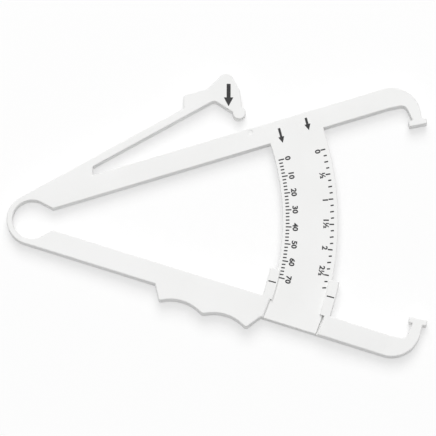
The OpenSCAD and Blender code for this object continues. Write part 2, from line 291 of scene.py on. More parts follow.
def slab(corners, bottom, top, edge=EDGE, under=None, steps=4, levels=()):
    """A slab with this outline. Its top edges are rounded by edge and its lower ones by under,
    and levels are the heights of further edge loops round its walls."""
    mesh = bmesh.new()
    points, below = soften(corners)
    above = [s is True for s in below]
    under = edge if under is None else under
    stack = []
    for k in range(steps + 1) if under else [steps]:
        a = math.pi / 2 * k / steps
        stack.append((under * (1 - math.sin(a)), bottom + under * (1 - math.cos(a)), below))
    stack += [(0.0, z, below) for z in levels]
    for k in range(steps + 1) if edge else [0]:
        a = math.pi / 2 * k / steps
        stack.append((edge * (1 - math.cos(a)), top - edge * (1 - math.sin(a)), above))
    loops = []
    for inset, z, sharp in stack:
        ring = pulled_in(points, sharp, inset) if inset > 1e-9 else points
        loops.append([mesh.verts.new((x, y, z)) for x, y in ring])
    n = len(points)
    for low, high in zip(loops, loops[1:]):
        for i in range(n):
            j = (i + 1) % n
            mesh.faces.new((low[i], low[j], high[j], high[i]))
    mesh.faces.new(loops[-1])
    mesh.faces.new(loops[0][::-1])
    return mesh


def cut_across(mesh, angle, along):
    """Adds an edge loop where a plane across a ray meets the mesh."""
    a = math.radians(angle)
    bmesh.ops.bisect_plane(
        mesh, geom=mesh.verts[:] + mesh.edges[:] + mesh.faces[:], dist=1e-6,
        plane_co=(*on_ray(angle, along, 0), 0), plane_no=(math.cos(a), math.sin(a), 0))


def mirrored(mesh):
    """The mesh on the lower arm's side."""
    for v in mesh.verts:
        v.co.y = -v.co.y
    bmesh.ops.reverse_faces(mesh, faces=mesh.faces[:])
    return mesh


def piece(name, mesh, material):
    """Turns a mesh in millimetres into a finished object in metres, smooth but for its real edges."""
    bmesh.ops.remove_doubles(mesh, verts=mesh.verts[:], dist=1e-5)
    bmesh.ops.scale(mesh, vec=(MM, MM, MM), verts=mesh.verts[:])
    data = bpy.data.meshes.new(name)
    mesh.to_mesh(data)
    mesh.free()
    data.materials.append(material)
    data.shade_smooth()
    data.set_sharp_from_angle(angle=math.radians(SMOOTH_ANGLE))
    obj = bpy.data.objects.new(name, data)
    bpy.context.scene.collection.objects.link(obj)
    even = obj.modifiers.new("even_normals", "WEIGHTED_NORMAL")
    even.keep_sharp = True
    even.weight = 100
    baked = bpy.data.meshes.new_from_object(obj.evaluated_get(bpy.context.evaluated_depsgraph_get()))
    obj.modifiers.clear()
    obj.data = baked
    baked.name = name
    return obj


# ---- Camera

TARGET = Vector((69.7, 0.9, BODY_TOP)) * MM
CAMERA_ELEVATION = 80.0
CAMERA_TURN = 0.33
CAMERA_DISTANCE = 2.0
FRAME_WIDTH = 163.35 * MM

camera_data = bpy.data.cameras.new("camera")
camera_data.sensor_width = 36.0
camera_data.lens = camera_data.sensor_width * CAMERA_DISTANCE / FRAME_WIDTH
camera_data.clip_start = 0.01
camera_data.clip_end = 20.0
camera = bpy.data.objects.new("camera", camera_data)
bpy.context.scene.collection.objects.link(camera)
bpy.context.scene.camera = camera
elevation, turn = math.radians(CAMERA_ELEVATION), math.radians(CAMERA_TURN)
away = Vector((
    math.sin(turn) * math.cos(elevation), -math.cos(turn) * math.cos(elevation), math.sin(elevation)))
camera.location = TARGET + away * CAMERA_DISTANCE
camera.rotation_euler = (-away).to_track_quat("-Z", "Y").to_euler()


# ---- Materials

def node(tree, kind, at, **values):
    """A shader or geometry node with some of its properties and inputs set."""
    made = tree.nodes.new(kind)
    made.location = at
    for key, value in values.items():
        if hasattr(made, key):
            setattr(made, key, value)
        else:
            made.inputs[key.replace("_", " ")].default_value = value
    return made


def moulded_skin():
    """Shader group: the faint clouds, gloss changes and spark-eroded grain of a plastic moulding."""
    group = bpy.data.node_groups.new("moulded_skin", "ShaderNodeTree")
    for way, name, kind in (
            ("INPUT", "Tone", "Color"), ("INPUT", "Cloud Tone", "Color"),
            ("INPUT", "Grain Size", "Float"), ("INPUT", "Grain Depth", "Float"),
            ("OUTPUT", "Colour", "Color"), ("OUTPUT", "Roughness", "Float"),
            ("OUTPUT", "Normal", "Vector")):
        group.interface.new_socket(name, in_out=way, socket_type="NodeSocket" + kind)
    link = group.links.new
    given = node(group, "NodeGroupInput", (-900, 0))
    result = node(group, "NodeGroupOutput", (500, 0))
    place = node(group, "ShaderNodeTexCoord", (-900, -300))
    cloud = node(group, "ShaderNodeTexNoise", (-600, 200), Scale=38.0, Detail=3.0, Roughness=0.55)
    spread = node(group, "ShaderNodeMapRange", (-380, 200), From_Min=0.35, From_Max=0.65)
    tint = node(group, "ShaderNodeMix", (-120, 220), data_type="RGBA")
    gloss = node(group, "ShaderNodeTexNoise", (-600, -60), Scale=150.0, Detail=4.0, Roughness=0.6)
    level = node(
        group, "ShaderNodeMapRange", (-380, -60), From_Min=0.3, From_Max=0.7, To_Min=0.38, To_Max=0.5)
    grain = node(group, "ShaderNodeTexNoise", (-600, -340), Detail=2.0, Roughness=0.5)
    bump = node(group, "ShaderNodeBump", (-120, -340), Strength=0.25)
    for texture in (cloud, gloss, grain):
        link(place.outputs["Object"], texture.inputs["Vector"])
    link(given.outputs["Grain Size"], grain.inputs["Scale"])
    link(given.outputs["Grain Depth"], bump.inputs["Distance"])
    link(cloud.outputs["Fac"], spread.inputs["Value"])
    link(spread.outputs["Result"], tint.inputs["Factor"])
    link(given.outputs["Tone"], tint.inputs["A"])
    link(given.outputs["Cloud Tone"], tint.inputs["B"])
    link(gloss.outputs["Fac"], level.inputs["Value"])
    link(grain.outputs["Fac"], bump.inputs["Height"])
    link(tint.outputs["Result"], result.inputs["Colour"])
    link(level.outputs["Result"], result.inputs["Roughness"])
    link(bump.outputs["Normal"], result.inputs["Normal"])
    return group


def skinned_material(name, tone, cloud_tone, grain_size, grain_depth, specular):
    """A material that wears the moulded skin."""
    material = bpy.data.materials.new(name)
    material.use_nodes = True
    tree = material.node_tree
    shader = tree.nodes["Principled BSDF"]
    shader.inputs["Specular IOR Level"].default_value = specular
    skin = node(tree, "ShaderNodeGroup", (-300, 0), node_tree=bpy.data.node_groups["moulded_skin"])
    skin.inputs["Tone"].default_value = (*tone, 1)
    skin.inputs["Cloud Tone"].default_value = (*cloud_tone, 1)
    skin.inputs["Grain Size"].default_value = grain_size
    skin.inputs["Grain Depth"].default_value = grain_depth
    tree.links.new(skin.outputs["Colour"], shader.inputs["Base Color"])
    tree.links.new(skin.outputs["Roughness"], shader.inputs["Roughness"])
    tree.links.new(skin.outputs["Normal"], shader.inputs["Normal"])
    return material


moulded_skin()
white_plastic = skinned_material(
    "white_plastic", (0.90, 0.90, 0.892), (0.93, 0.93, 0.925), 2600.0, 0.00004, 0.4)
printed_ink = skinned_material(
    "printed_ink", (0.012, 0.012, 0.014), (0.022, 0.022, 0.025), 5200.0, 0.00002, 0.35)


# ---- Ring, shoulder and arms

def root_path(outer_angle):
    """Corners of an arm's root, from the ring's seam round the throat to the nose."""
    inner_normal = 90 + ARM_ANGLE
    nose = meeting(THROAT_ANGLE, RING_INNER + NOSE_RADIUS, inner_normal, ARM_INSET + NOSE_RADIUS)
    return (
        [corner(on_ray(outer_angle, 0, RING_OUTER), sharp=True)]
        + curve((0, 0), RING_INNER, 90 + outer_angle, THROAT_ANGLE)
        + curve(nose, NOSE_RADIUS, THROAT_ANGLE + 180, inner_normal + 180, 9)
    )


def spring_ring():
    """The thin ring that joins the two arms and bends when they close."""
    first, last = 90 + LEVER_ANGLE, 270 - ARM_ANGLE
    outer = curve((0, 0), RING_OUTER, first, last, 2.5)
    inner = curve((0, 0), RING_INNER, last, first, 2.5)
    outer[-1] = corner(outer[-1][:2], sharp=True)
    inner[-1] = corner(inner[-1][:2], sharp=True)
    return slab(outer + inner, 0, BODY_TOP)


def shoulder():
    """The upper arm's root, which also carries the lever and ends past the slot between them."""
    end = SLOT_X + SLOT_SKIRT
    return slab(
        root_path(LEVER_ANGLE) + [
            corner(on_line(ARM_ANGLE, ARM_INSET, end), sharp=True),
            corner(on_line(ARM_ANGLE, RING_OUTER, end)),
            corner(on_line(ARM_ANGLE, RING_OUTER, SLOT_X), SLOT_ROUNDING),
            corner(on_line(LEVER_ANGLE, LEVER_INNER, SLOT_X), SLOT_ROUNDING),
            corner(on_line(LEVER_ANGLE, LEVER_INNER, end), sharp=True),
            corner(on_line(LEVER_ANGLE, RING_OUTER, end)),
        ], 0, BODY_TOP)


def upper_arm():
    """The bar from the shoulder to the jaw, with the faint round mark of a moulding pin."""
    start = SLOT_X + SLOT_SKIRT
    mesh = slab([
        corner(on_line(ARM_ANGLE, ARM_INSET, start)),
        corner(on_ray(ARM_ANGLE, JAW_START, ARM_INSET), sharp=True),
        corner(on_ray(ARM_ANGLE, JAW_START, RING_OUTER)),
        corner(on_line(ARM_ANGLE, RING_OUTER, start), sharp=True),
    ], 0, BODY_TOP)
    return pin_mark(mesh, on_ray(ARM_ANGLE, PIN_MARK_AT, RING_OUTER - PIN_MARK_MARGIN))


# The mark's section, as shares of its radius and of its depth.
PIN_MARK_SECTION = (1.0, 0.0), (0.92, 0.12), (0.8, 0.55), (0.6, 0.88), (0.35, 1.0)


def pin_mark(mesh, middle, sides=40):
    """Presses a shallow round dish into the flat front of a slab."""
    mesh.normal_update()
    front = max((f for f in mesh.faces if f.normal.z > 0.99), key=lambda f: f.calc_area())
    rings = []
    for share, drop in PIN_MARK_SECTION:
        rings.append([
            mesh.verts.new((
                middle[0] + PIN_MARK_RADIUS * share * math.cos(2 * math.pi * k / sides),
                middle[1] + PIN_MARK_RADIUS * share * math.sin(2 * math.pi * k / sides),
                BODY_TOP - PIN_MARK_DEPTH * drop))
            for k in range(sides)])
    for outer, inner in zip(rings, rings[1:]):
        for k in range(sides):
            j = (k + 1) % sides
            mesh.faces.new((outer[k], outer[j], inner[j], inner[k]))
    mesh.faces.new(rings[-1])
    outline = list(front.verts)
    mesh.faces.remove(front)
    rim = [mesh.edges.get((rings[0][k], rings[0][(k + 1) % sides])) for k in range(sides)]
    border = [mesh.edges.get((a, b)) for a, b in zip(outline, outline[1:] + outline[:1])]
    bmesh.ops.triangle_fill(mesh, edges=rim + border, use_beauty=True, normal=(0, 0, 1))
    return mesh


# ---- Jaws, in the arm's own frame and then turned to its angle

PAD_ALONG = JAW_REACH * math.cos(math.radians(ARM_ANGLE - JAW_HALF_ANGLE))
PAD_ACROSS = -JAW_REACH * math.sin(math.radians(ARM_ANGLE - JAW_HALF_ANGLE))
PAD_TURN = JAW_HALF_ANGLE - PAD_TILT - ARM_ANGLE
LEG_TIP = PAD_ALONG + JAW_LEG_SHIFT + JAW_LEG_WIDTH / 2
LEG_OUTER = LEG_TIP + JAW_DRAW_IN
JAW_START = LEG_OUTER - JAW_OUTER_RADIUS


def jaw():
    """The hooked end of an arm with the flat bar across its tip."""
    leg_inner = LEG_TIP - JAW_LEG_WIDTH
    root_inner = LEG_OUTER - JAW_ROOT_WIDTH
    tan = math.tan(math.radians(PAD_TURN))
    back = PAD_ACROSS + PAD_THICKNESS / math.cos(math.radians(PAD_TURN))

    def on_pad(x, y):
        c, s = math.cos(math.radians(PAD_TURN)), math.sin(math.radians(PAD_TURN))
        return (PAD_ALONG + x * c - y * s, PAD_ACROSS + x * s + y * c)

    half = PAD_LENGTH / 2
    path = [corner((JAW_START, ARM_INSET))]
    crook = (root_inner - JAW_INNER_RADIUS, ARM_INSET - CROOK_FILL - JAW_INNER_RADIUS)
    path += curve(crook, JAW_INNER_RADIUS, 90, 0, 6)
    path += [
        corner((leg_inner, back + (leg_inner - PAD_ALONG) * tan), LEG_FOOT_ROUNDING),
        corner(on_pad(-half, PAD_THICKNESS), PAD_BACK_ROUNDING),
        corner(on_pad(-half, 0), PAD_FACE_ROUNDING),
        corner(on_pad(half, 0), PAD_FACE_ROUNDING),
        corner(on_pad(half, PAD_THICKNESS), PAD_BACK_ROUNDING),
        corner((LEG_TIP, back + (LEG_TIP - PAD_ALONG) * tan), LEG_FOOT_ROUNDING),
    ]
    bend = curve((JAW_START, RING_OUTER - JAW_OUTER_RADIUS), JAW_OUTER_RADIUS, 0, 90, 4)
    bend[-1] = corner(bend[-1][:2], sharp=True)
    return slab(turned(path + bend, ARM_ANGLE), 0, BODY_TOP)


# ---- Scale plate

def scale_plate():
    """The curved plate. Its root reaches under the rounded edge of the upper arm and closes it."""
    root = ARM_INSET + EDGE

    def arm_side(radius):
        x, y = on_circle(ARM_ANGLE, root, radius)
        return math.degrees(math.atan2(y, x))

    def free_side(radius):
        x, y = on_circle(ARM_ANGLE, RING_OUTER, radius)
        return -math.degrees(math.atan2(y, x))

    inner = curve((0, 0), PLATE_INNER, arm_side(PLATE_INNER), free_side(PLATE_INNER), 0.8)
    outer = curve((0, 0), PLATE_OUTER, free_side(PLATE_OUTER), arm_side(PLATE_OUTER), 0.8)
    inner[-1] = corner(inner[-1][:2], PLATE_CORNER)
    outer[0] = corner(outer[0][:2], PLATE_CORNER)
    outer[-1] = corner(outer[-1][:2], sharp=True)
    return slab(inner + outer, PLATE_BOTTOM, BODY_TOP, FINE_EDGE)


# ---- Lower arm, drawn on the upper side and mirrored

LAND_START = RECESS_INNER - POST_WIDTH - GUIDE_LAND
LAND_END = RECESS_OUTER + POST_WIDTH + GUIDE_LAND


def lower_height(along):
    """Front of the lower arm, which rises to the guide and falls again towards the jaw."""
    if along < LAND_START:
        return BODY_TOP + (GUIDE_TOP - BODY_TOP) * along / LAND_START
    if along > LAND_END:
        return GUIDE_TOP + (BODY_TOP - GUIDE_TOP) * (along - LAND_END) / (JAW_START - LAND_END)
    return GUIDE_TOP


def settle(mesh):
    """Lowers the front of a slab of full guide height to the lower arm's real height."""
    for along in (LAND_START, LAND_END):
        cut_across(mesh, ARM_ANGLE, along)
    middle = BODY_TOP / 2
    c, s = math.cos(math.radians(ARM_ANGLE)), math.sin(math.radians(ARM_ANGLE))
    for v in mesh.verts:
        if v.co.z > middle:
            v.co.z += lower_height(v.co.x * c + v.co.y * s) - GUIDE_TOP
    return mirrored(mesh)


def recess_wall(radius, inwards):
    """Corners along the lower arm's wall beside the plate, whose top edge is rounded."""
    corners = [on_circle(ARM_ANGLE, left, radius) for left in (ARM_INSET, RING_OUTER)]
    first, last = (math.degrees(math.atan2(y, x)) for x, y in (corners if inwards else corners[::-1]))
    wall = [corner(c[:2], sharp="below") for c in curve((0, 0), radius, first, last, 0.8)]
    wall[-1] = corner(wall[-1][:2])
    return wall


def move_wall(mesh, radius, change):
    """Moves the wall at this radius and its rounded edge outwards, by an amount for each height."""
    for v in mesh.verts:
        r = math.hypot(v.co.x, v.co.y)
        if abs(r - radius) < EDGE + 0.01:
            v.co.xy *= (r + change(v.co.z)) / r
    return mesh


def lower_arm():
    """Bar from the ring to the plate, whose front reaches a little over the plate's edge."""
    wall = PLATE_INNER - SLIM_GAP
    mesh = slab(root_path(ARM_ANGLE) + recess_wall(wall, True), 0, GUIDE_TOP,
                levels=[SHELF_BOTTOM - LEDGE_RISE] + [SHELF_BOTTOM + SHELF_LOOP_STEP * k for k in range(4)])

    def reach(z):
        if z < SHELF_BOTTOM - LEDGE_RISE / 2:
            return 0
        share = min((z - SHELF_BOTTOM) / (GUIDE_TOP - SHELF_BOTTOM), 1)
        return SHELF - SHELF_FALL * (1 - math.sqrt(1 - share * share))

    return settle(move_wall(mesh, wall, reach))


def lower_arm_end():
    """Bar from the plate to the jaw, with a ledge beside the plate's edge."""
    wall, ledge = PLATE_OUTER + SLIM_GAP, BODY_TOP - GROOVE_DEPTH
    mesh = slab(recess_wall(wall, False) + [
        corner(on_ray(ARM_ANGLE, JAW_START, ARM_INSET), sharp=True),
        corner(on_ray(ARM_ANGLE, JAW_START, RING_OUTER)),
    ], 0, GUIDE_TOP, levels=(ledge, ledge + LEDGE_RISE))
    return settle(move_wall(mesh, wall, lambda z: GROOVE - SLIM_GAP if z > ledge + LEDGE_RISE / 2 else 0))


def finger_grip():
    """Two round hollows between three crests, on the lower arm's outer edge."""
    base = RING_OUTER - EDGE
    crest = RING_OUTER + GRIP_HEIGHT
    radius = GRIP_PITCH ** 2 / 8 / GRIP_DIP + GRIP_DIP / 2
    half = math.degrees(math.asin(GRIP_PITCH / 2 / radius))
    path = [corner((GRIP_END + EDGE * GRIP_SLOPE_END / GRIP_HEIGHT, base))]
    path.append(corner((GRIP_LAST, crest), CREST_ROUNDINGS[2]))
    for k in (1, 0):
        centre = (GRIP_FIRST + (k + 0.5) * GRIP_PITCH, crest - GRIP_DIP + radius)
        path += curve(centre, radius, 270 + half, 270 - half, 4)[1:-1]
        path.append(corner((GRIP_FIRST + k * GRIP_PITCH, crest), CREST_ROUNDINGS[k]))
    path.append(corner((GRIP_START - EDGE * GRIP_SLOPE_START / GRIP_HEIGHT, base), sharp=True))
    return settle(slab(turned(path, ARM_ANGLE), 0, GUIDE_TOP))


# ---- Guide for the plate

def guide_floor():
    """The floor under the plate, between the two parts of the lower arm."""
    outline = []
    for wall in (recess_wall(PLATE_OUTER + SLIM_GAP, False), recess_wall(PLATE_INNER - SLIM_GAP, True)):
        outline += [corner(c[:2], sharp=True) for c in wall[:0:-1]] + [corner(wall[0][:2])]
    return mirrored(slab(outline, 0, PLATE_BOTTOM - GUIDE_GAP, FLOOR_EDGE, EDGE))


def side_guide(profile):
    """A post beside the plate with its lip over the plate's edge: the profile swept round the pivot."""
    reference = sum(p[0] for p in profile) / len(profile)
    last = ARM_ANGLE + math.degrees(math.asin((ARM_INSET + EDGE) / reference))
    length = math.radians(last - POST_END_ANGLE) * reference
    levels = [length * k / POST_STEPS for k in range(1, POST_STEPS)]
    mesh = slab(profile, 0, length, 0, FINE_EDGE, levels=levels)
    for v in mesh.verts:
        radius, height = v.co.x, v.co.y
        angle = -POST_END_ANGLE - math.degrees(v.co.z / reference)
        v.co = (*polar(radius, angle), height)
    return mesh


def mm_side_guide():
    """The post and lip at the plate's inner edge, beside the millimetre scale."""
    first, lip = RECESS_INNER - POST_WIDTH, PLATE_INNER + LIP_COVER
    side, low = PLATE_INNER - SLIM_GAP, SHELF_BOTTOM
    return side_guide([
        corner((first, 0), POST_ROUNDING), corner((side, 0), CHANNEL_FOOT),
        corner((side, low), CHANNEL_CREASE), corner((lip, low), CHANNEL_CREASE),
        corner((lip, GUIDE_TOP), LIP_ROUNDING), corner((first, GUIDE_TOP), POST_ROUNDING)])


def inch_side_guide():
    """The post and lip at the plate's outer edge, beside the inch scale."""
    last, lip = RECESS_OUTER + POST_WIDTH, PLATE_OUTER - LIP_COVER
    side, low = PLATE_OUTER + SLIM_GAP, SHELF_BOTTOM
    return side_guide([
        corner((side, 0), CHANNEL_FOOT), corner((last, 0), POST_ROUNDING),
        corner((last, GUIDE_TOP), POST_ROUNDING), corner((lip, GUIDE_TOP), LIP_ROUNDING),
        corner((lip, low), CHANNEL_CREASE), corner((side, low), CHANNEL_CREASE)])


# ---- Lever, in its own frame and then turned to its angle

SLOT_ALONG = (SLOT_X + (RING_OUTER - LEVER_WIDTH / 2) * math.sin(math.radians(LEVER_ANGLE))) / math.cos(
    math.radians(LEVER_ANGLE))
ROOT_END = SLOT_ALONG + FLEX_LENGTH


def lever_root():
    """The thin part of the lever that bends, in short steps so that it bends smoothly."""
    start = SLOT_X + SLOT_SKIRT
    path = []
    for left, order in ((LEVER_INNER, 1), (RING_OUTER, -1)):
        first, last = (on_line(LEVER_ANGLE, left, start), on_ray(LEVER_ANGLE, ROOT_END, left))[::order]
        path += [corner(tuple(p)) for p in np.linspace(first, last, FLEX_STEPS + 1)]
        path[-1] = corner(last, sharp=True)
    return slab(path, 0, BODY_TOP)


def lever():
    """Beam, stepped thumb rest, head and the finger whose round toe meets the arm."""
    head_end = HEAD_AT + HEAD_LENGTH
    lean = math.degrees(math.asin(TOE_NECK / TOE_RADIUS))
    rest_foot, low = HEAD_AT - REST_LENGTH, RING_OUTER + REST_LOW_HEIGHT
    path = [corner((ROOT_END, LEVER_INNER)), corner((HEAD_AT, LEVER_INNER), HEAD_CROOK_ROUNDING)]
    path += curve((HEAD_AT + TOE_AT, RING_OUTER - TOE_DROP), TOE_RADIUS, 90 + lean, 450 - lean, 12)
    path += [
        corner((head_end, LEVER_INNER - HEEL), HEEL),
        corner((head_end, low + HEAD_LENGTH * math.tan(math.radians(HEAD_RISE))), HEAD_CREST_ROUNDING),
        corner((HEAD_AT, low), REST_ROUNDING),
        corner((rest_foot + REST_LEAD, RING_OUTER + REST_HEIGHT), REST_ROUNDING),
        corner((rest_foot, RING_OUTER), REST_FOOT_ROUNDING),
        corner((ROOT_END, RING_OUTER), sharp=True),
    ]
    return slab(turned(path, LEVER_ANGLE), 0, BODY_TOP)


# ---- The pieces of the moulding, with the solids that they stand for

ring = piece("spring_ring_wall", spring_ring(), white_plastic)
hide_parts("spring_ring")
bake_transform(ring)

root = piece("lever_spring_root", lever_root(), white_plastic)
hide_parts("lever_flexure")
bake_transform(root)

MOULDING = [
    ("shoulder_and_slot", shoulder(), "upper", ["upper_shoulder"]),
    ("upper_arm_bar", upper_arm(), "upper", ["upper_arm"]),
    ("upper_jaw_hook", jaw(), "upper", ["upper_jaw", "upper_jaw_pad"]),
    ("curved_scale_plate", scale_plate(), "upper", ["scale_plate"]),
    ("thumb_lever", lever(), "lever", ["press_lever", "thumb_rest", "lever_head", "lever_finger"]),
    ("lower_arm_bar", lower_arm(), "lower", ["lower_arm"]),
    ("scalloped_grip", finger_grip(), "lower", ["finger_grip"]),
    ("plate_guide_floor", guide_floor(), "lower", ["guide_floor"]),
    ("mm_side_post", mm_side_guide(), "lower", ["mm_side_guide"]),
    ("inch_side_post", inch_side_guide(), "lower", ["inch_side_guide"]),
    ("lower_arm_tip", lower_arm_end(), "lower", ["lower_arm_end"]),
    ("lower_jaw_hook", mirrored(jaw()), "lower", ["lower_jaw", "lower_jaw_pad"]),
]
for name, mesh, body, nodes in MOULDING:
    made = piece(name, mesh, white_plastic)
    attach(made, body)
    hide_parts(*nodes)


# ---- Printed marks

def mark_row():
    """Geometry nodes: a row of ink bars, one for each reading, and the identifiers of its inputs."""
    tree = bpy.data.node_groups.new("mark_row", "GeometryNodeTree")
    face = tree.interface
    face.new_socket("Geometry", in_out="INPUT", socket_type="NodeSocketGeometry")
    keys = {
        name: face.new_socket(name, in_out="INPUT", socket_type="NodeSocket" + kind).identifier
        for name, kind in (
            ("Count", "Int"), ("First Reading", "Float"), ("Step", "Float"), ("Leave Out Every", "Int"),
            ("Reach", "Float"), ("Zero Angle", "Float"), ("Middle Radius", "Float"),
            ("Face Height", "Float"), ("Length", "Float"), ("Width", "Float"), ("Corner", "Float"),
            ("Thickness", "Float"), ("Ink", "Material"))}
    face.new_socket("Geometry", in_out="OUTPUT", socket_type="NodeSocketGeometry")
    link = tree.links.new
    given = node(tree, "NodeGroupInput", (-1500, 0)).outputs
    result = node(tree, "NodeGroupOutput", (1500, 0))

    def maths(operation, at, *values):
        made = node(tree, "ShaderNodeMath", at, operation=operation)
        for socket, value in zip(made.inputs, values):
            if isinstance(value, (int, float)):
                socket.default_value = value
            else:
                link(value, socket)
        return made.outputs[0]

    points = node(tree, "GeometryNodePoints", (-1200, 200))
    index = node(tree, "GeometryNodeInputIndex", (-1500, -300)).outputs[0]
    link(given["Count"], points.inputs["Count"])
    reading = maths("MULTIPLY_ADD", (-1200, -200), index, given["Step"], given["First Reading"])
    ratio = maths("DIVIDE", (-1000, -200), reading, given["Reach"])
    half_turn = maths("ARCSINE", (-640, -200), maths("MULTIPLY", (-820, -200), ratio, 0.5))
    angle = maths("MULTIPLY_ADD", (-460, -200), half_turn, -2.0, given["Zero Angle"])
    place = node(tree, "ShaderNodeCombineXYZ", (-640, -420))
    link(given["Middle Radius"], place.inputs["X"])
    link(given["Face Height"], place.inputs["Z"])
    round_pivot = node(tree, "ShaderNodeVectorRotate", (-280, -420), rotation_type="Z_AXIS")
    link(place.outputs[0], round_pivot.inputs["Vector"])
    link(angle, round_pivot.inputs["Angle"])
    seat = node(tree, "GeometryNodeSetPosition", (-40, 200))
    link(points.outputs[0], seat.inputs["Geometry"])
    link(round_pivot.outputs[0], seat.inputs["Position"])

    every = maths("MAXIMUM", (-1000, -620), given["Leave Out Every"], 1)
    remainder = maths("MODULO", (-820, -620), index, every)
    first_of_group = maths("LESS_THAN", (-640, -620), remainder, 0.5)
    asked = maths("GREATER_THAN", (-820, -800), given["Leave Out Every"], 0.5)
    thin = node(tree, "GeometryNodeDeleteGeometry", (200, 200))
    link(seat.outputs[0], thin.inputs["Geometry"])
    link(maths("MULTIPLY", (-460, -620), first_of_group, asked), thin.inputs["Selection"])

    outline = node(tree, "GeometryNodeCurvePrimitiveQuadrilateral", (-600, 620))
    link(given["Length"], outline.inputs["Width"])
    link(given["Width"], outline.inputs["Height"])
    fillet = node(tree, "GeometryNodeFilletCurve", (-400, 620), mode="POLY")
    fillet.inputs["Count"].default_value = 3
    link(outline.outputs[0], fillet.inputs["Curve"])
    link(given["Corner"], fillet.inputs["Radius"])
    fill = node(tree, "GeometryNodeFillCurve", (-200, 620), mode="NGONS")
    link(fillet.outputs[0], fill.inputs["Curve"])
    raise_ink = node(tree, "GeometryNodeExtrudeMesh", (0, 700))
    raise_ink.inputs["Individual"].default_value = False
    link(fill.outputs[0], raise_ink.inputs["Mesh"])
    link(given["Thickness"], raise_ink.inputs["Offset Scale"])
    underside = node(tree, "GeometryNodeFlipFaces", (0, 520))
    link(fill.outputs[0], underside.inputs["Mesh"])
    bar = node(tree, "GeometryNodeJoinGeometry", (200, 620))
    link(raise_ink.outputs[0], bar.inputs[0])
    link(underside.outputs[0], bar.inputs[0])

    turn = node(tree, "ShaderNodeCombineXYZ", (200, -200))
    link(angle, turn.inputs["Z"])
    spread = node(tree, "GeometryNodeInstanceOnPoints", (460, 200))
    link(thin.outputs[0], spread.inputs["Points"])
    link(bar.outputs[0], spread.inputs["Instance"])
    link(turn.outputs[0], spread.inputs["Rotation"])
    together = node(tree, "GeometryNodeJoinGeometry", (700, 100))
    link(given["Geometry"], together.inputs[0])
    link(spread.outputs[0], together.inputs[0])
    real = node(tree, "GeometryNodeRealizeInstances", (920, 100))
    link(together.outputs[0], real.inputs[0])
    inked = node(tree, "GeometryNodeSetMaterial", (1180, 100))
    link(real.outputs[0], inked.inputs["Geometry"])
    link(given["Ink"], inked.inputs["Material"])
    link(inked.outputs[0], result.inputs[0])
    return tree, keys


MARK_ROW, MARK_INPUTS = mark_row()
ZERO_ANGLE = JAW_HALF_ANGLE - MARK_SHIFT      # where the marks for a closed jaw would stand


def marks(name, node_name, body, rows):
    """The ink bars that stand for one CAD node, one modifier for each row of equal bars."""
    holder = bpy.data.objects.new(name, bpy.data.meshes.new(name))
    bpy.context.scene.collection.objects.link(holder)
    common = {
        "Reach": JAW_REACH, "Zero Angle": math.radians(ZERO_ANGLE), "Corner": MARK_CORNER,
        "Thickness": INK, "Ink": printed_ink, "First Reading": 0.0, "Leave Out Every": 0,
        "Face Height": BODY_TOP}
    for row in rows:
        modifier = holder.modifiers.new("row", "NODES")
        modifier.node_group = MARK_ROW
        for key, value in {**common, **row}.items():
            modifier[MARK_INPUTS[key]] = value
    baked = bpy.data.meshes.new_from_object(holder.evaluated_get(bpy.context.evaluated_depsgraph_get()))
    mesh = bmesh.new()
    mesh.from_mesh(baked)
    bpy.data.objects.remove(holder)
    bpy.data.meshes.remove(baked)
    made = piece(name, mesh, printed_ink)
    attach(made, body)
    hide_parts(node_name)


def row(count, step, inner, length, width, **other):
    """Inputs of one row of marks, from the radius where they start."""
    return {
        "Count": count, "Step": step, "Middle Radius": inner + length / 2, "Length": length,
        "Width": width, **other}


marks("mm_scale_marks", "mm_graduations", "upper", [
    row(36, 2.0, MM_MARKS_FROM, 1.4, MM_MARK_WIDTH, **{"Leave Out Every": 5}),
    row(8, 10.0, MM_MARKS_FROM, 2.2, MM_MARK_WIDTH)])
marks("inch_scale_marks", "inch_graduations", "upper", [
    row(23, INCH / 8, INCH_MARKS_TO - 1.2, 1.2, INCH_MARK_WIDTH, **{"Leave Out Every": 2}),
    row(12, INCH / 4, INCH_MARKS_TO - 1.45, 1.45, INCH_MARK_WIDTH, **{"Leave Out Every": 2}),
    row(6, INCH / 2, INCH_MARKS_TO - 1.8, 1.8, INCH_MARK_WIDTH)])
for name, node_name, first, last in (
        ("mm_pointer", "mm_index_mark", RECESS_INNER - POST_WIDTH, PLATE_INNER + LIP_COVER),
        ("inch_pointer", "inch_index_mark", PLATE_OUTER - LIP_COVER, RECESS_OUTER + POST_WIDTH)):
    first, last = first + POINTER_MARGIN, last - POINTER_MARGIN
    marks(name, node_name, "lower", [
        row(1, 1.0, first, last - first, POINTER_WIDTH,
            **{"First Reading": REST_OPENING, "Face Height": GUIDE_TOP})])


def mark_angle(reading):
    """Angle of the mark for an opening between the pads, in millimetres."""
    return ZERO_ANGLE - 2 * math.degrees(math.asin(reading / 2 / JAW_REACH))


